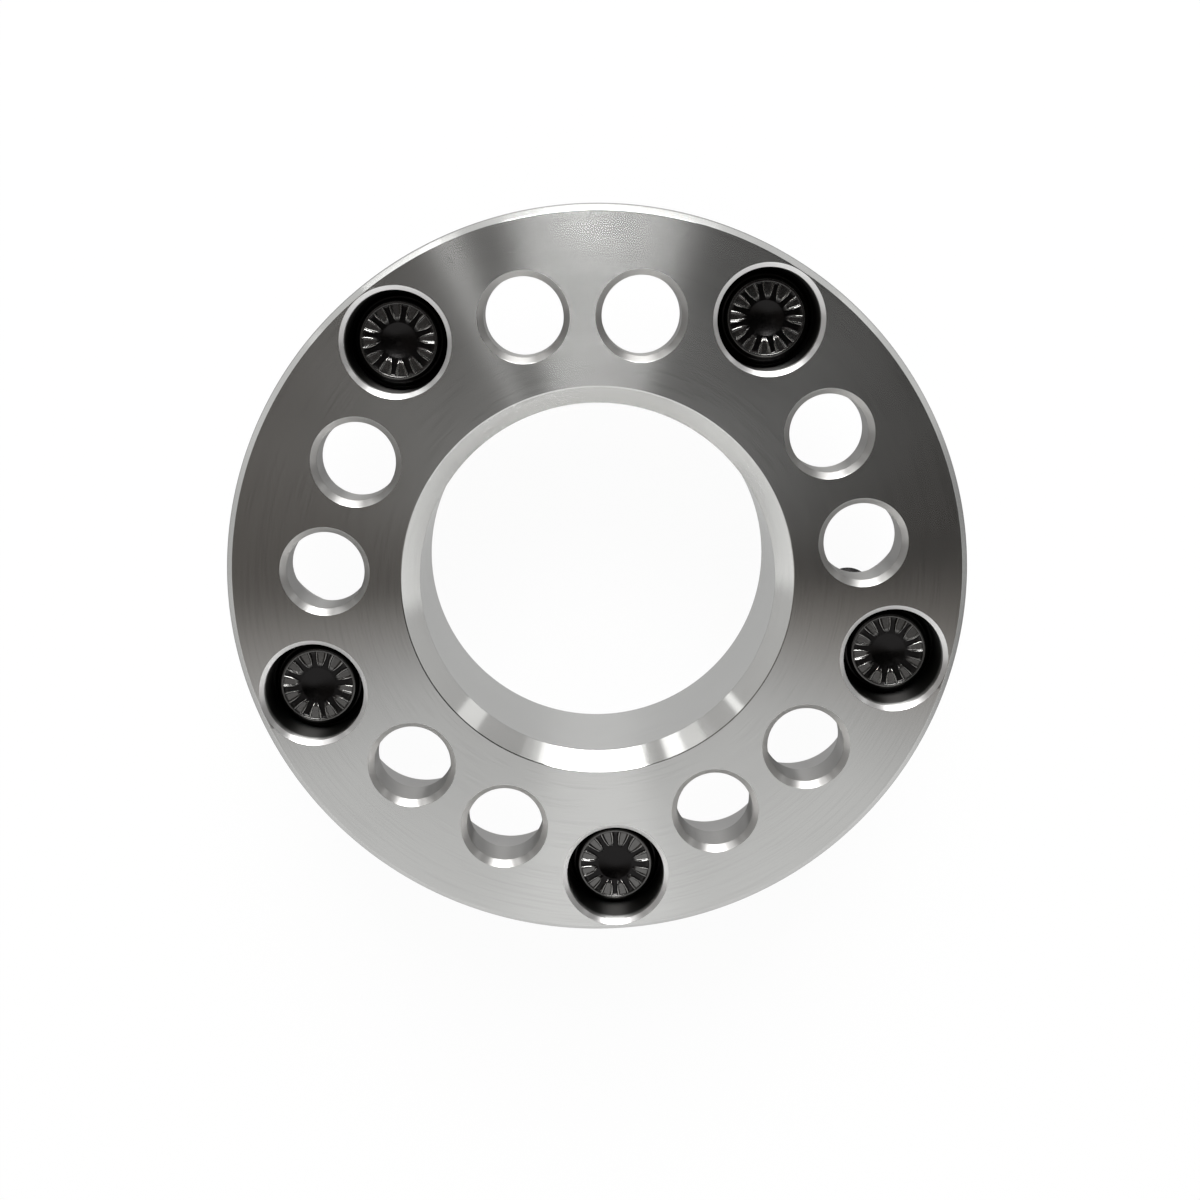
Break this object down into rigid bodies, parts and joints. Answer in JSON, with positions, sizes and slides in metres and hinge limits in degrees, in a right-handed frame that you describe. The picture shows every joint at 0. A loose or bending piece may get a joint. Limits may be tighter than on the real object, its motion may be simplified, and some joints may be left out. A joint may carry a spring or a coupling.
{
  "type": "wheel spacer",
  "caption": "Bolt-on wheel spacer: a thick turned aluminium disc with a large centre bore, holes for the hub's studs in pairs, and black press-in wheel studs sunk in pockets.",
  "frame": {"origin": "centre of the wheel-side face, on the axis of the bore", "axes": "+Z along the bore's axis, from the wheel-side face towards the hub-side face; the wheel studs stand out along -Z; +Y runs between the two hub holes of the first pair"},
  "size_m": [0.1524, 0.1524, 0.0678],
  "materials": {
    "turned_aluminium": "bare turned faces, satin, with fine concentric tool marks",
    "black_steel": "forged and rolled steel with a glossy black coating"
  },
  "bodies": {
    "root": {"spacer_body": "turned_aluminium", "wheel_stud_1": "black_steel", "wheel_stud_2": "black_steel", "wheel_stud_3": "black_steel", "wheel_stud_4": "black_steel", "wheel_stud_5": "black_steel"}
  },
  "joints": []
}
